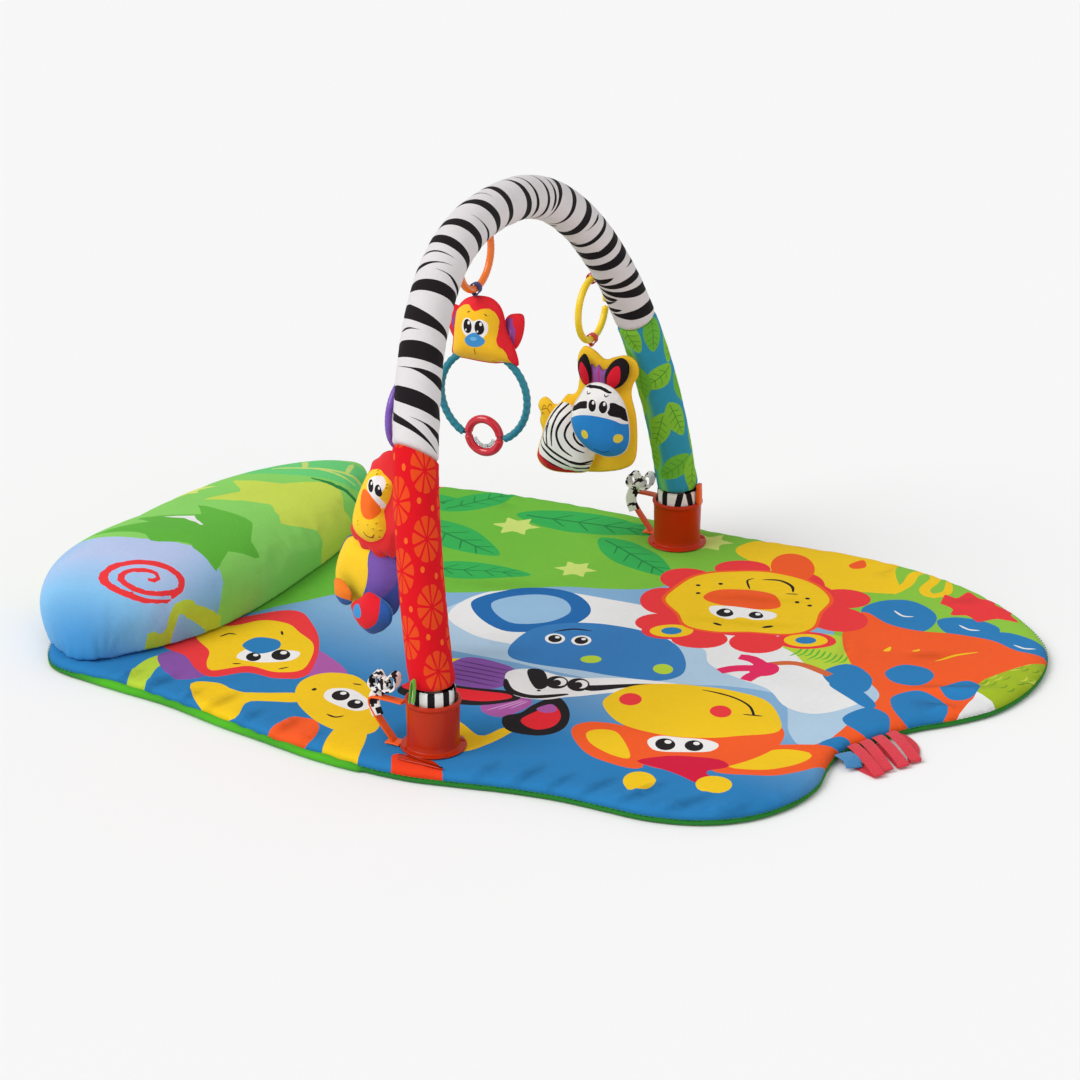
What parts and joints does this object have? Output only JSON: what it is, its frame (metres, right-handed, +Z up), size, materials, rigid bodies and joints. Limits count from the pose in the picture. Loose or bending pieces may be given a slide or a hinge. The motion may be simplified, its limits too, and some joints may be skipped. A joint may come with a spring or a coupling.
{
  "type": "activity play gym",
  "caption": "Padded baby floor mat with a head pillow and a soft arch that lifts out of two cups and carries swinging plush toys on split rings.",
  "frame": {"origin": "on the floor, midway between the two arch cups", "axes": "+X along the mat towards the foot end, +Y across the mat, +Z up"},
  "size_m": [0.9105, 0.6363, 0.4502],
  "materials": {
    "orange_plastic": "satin moulded",
    "green_cloth": "woven polyester",
    "printed_cover": "printed brushed polyester",
    "pillow_cloth": "printed brushed polyester",
    "wadding": "polyester wadding",
    "red_cloth": "printed polyester",
    "zebra_cloth": "printed jersey",
    "leaf_cloth": "printed polyester",
    "checked_cloth": "printed cotton",
    "foam": "open cell foam",
    "tube_plastic": "extruded",
    "screw_steel": "zinc plated",
    "tag_cloth": "satin",
    "yellow_plush": "printed plush",
    "teal_plastic": "ribbed moulded",
    "rattle_red": "gloss moulded",
    "clear_plastic": "clear",
    "yellow_plastic": "moulded",
    "link_orange": "moulded",
    "purple_plastic": "moulded",
    "navy_webbing": "woven webbing"
  },
  "bodies": {
    "mat": {"mat_underside": "green_cloth", "mat_wadding": "wadding", "mat_cover": "printed_cover", "mat_binding": "green_cloth", "head_pillow": "pillow_cloth", "blue_tab": "navy_webbing", "blank_tag": "tag_cloth", "edge_patch": "orange_plastic", "socket_cup_near": "orange_plastic", "backing_plate_near": "screw_steel", "socket_screw_near": "screw_steel", "socket_strap_near": "orange_plastic", "cloth_bow_near": "checked_cloth", "socket_cup_far": "orange_plastic", "backing_plate_far": "screw_steel", "socket_screw_far": "screw_steel", "socket_strap_far": "orange_plastic", "cloth_bow_far": "checked_cloth", "ribbon_loop_1": "red_cloth", "ribbon_loop_2": "red_cloth", "ribbon_loop_3": "red_cloth", "ribbon_loop_4": "red_cloth"},
    "arch": {"arch_tube": "tube_plastic", "arch_foam": "foam", "red_sleeve": "red_cloth", "zebra_sleeve": "zebra_cloth", "leaf_sleeve": "leaf_cloth", "green_tab": "green_cloth", "arch_loop_monkey": "navy_webbing", "arch_loop_zebra": "red_cloth", "arch_loop_lion": "red_cloth", "arch_plug_near": "tube_plastic", "arch_cuff_near": "checked_cloth", "arch_plug_far": "tube_plastic", "arch_cuff_far": "checked_cloth"},
    "monkey_link": {"monkey_ring": "link_orange"},
    "monkey": {"monkey_loop": "navy_webbing", "monkey_head": "yellow_plush", "monkey_ear_left": "red_cloth", "monkey_ear_right": "red_cloth", "monkey_hoop_left": "teal_plastic", "monkey_hoop_right": "teal_plastic"},
    "rattle": {"rattle_ring": "rattle_red", "rattle_window": "clear_plastic", "rattle_bead_1": "yellow_plastic", "rattle_bead_2": "yellow_plastic"},
    "zebra_link": {"zebra_ring": "yellow_plastic"},
    "zebra": {"zebra_loop": "red_cloth", "zebra_backing": "yellow_plush", "zebra_body": "zebra_cloth", "zebra_head": "zebra_cloth", "zebra_ear_left": "red_cloth", "zebra_ear_right": "red_cloth"},
    "lion_link": {"lion_ring": "purple_plastic"},
    "lion": {"lion_loop": "red_cloth", "lion_mane": "red_cloth", "lion_head": "yellow_plush", "lion_body": "yellow_plush", "lion_foot_left": "red_cloth", "lion_foot_right": "red_cloth"}
  },
  "joints": [
    {"name": "arch_lift", "type": "slide", "parent": "mat", "child": "arch", "axis": [0, 0, 1], "range_m": [0, 0.06]},
    {"name": "monkey_link_swing", "type": "hinge", "parent": "arch", "child": "monkey_link", "pos_m": [-0.094, 0.004, 0.4115], "axis": [0, 1, 0], "range_deg": [-25, 30]},
    {"name": "monkey_sway", "type": "hinge", "parent": "monkey_link", "child": "monkey", "pos_m": [-0.094, 0.004, 0.38], "axis": [1, 0, 0], "range_deg": [-25, 25]},
    {"name": "rattle_spin", "type": "hinge", "parent": "monkey", "child": "rattle", "pos_m": [-0.086, 0.004, 0.2032], "axis": [1, 0, 0], "continuous": true},
    {"name": "zebra_link_swing", "type": "hinge", "parent": "arch", "child": "zebra_link", "pos_m": [-0.072, 0.2095, 0.301], "axis": [0, 1, 0], "range_deg": [-3, 30]},
    {"name": "zebra_sway", "type": "hinge", "parent": "zebra_link", "child": "zebra", "pos_m": [-0.072, 0.2095, 0.2695], "axis": [1, 0, 0], "range_deg": [-25, 3]},
    {"name": "lion_link_swing", "type": "hinge", "parent": "arch", "child": "lion_link", "pos_m": [-0.072, -0.174, 0.3205], "axis": [0, 1, 0], "range_deg": [-3, 30]},
    {"name": "lion_sway", "type": "hinge", "parent": "lion_link", "child": "lion", "pos_m": [-0.072, -0.174, 0.289], "axis": [1, 0, 0], "range_deg": [-3, 25]}
  ]
}
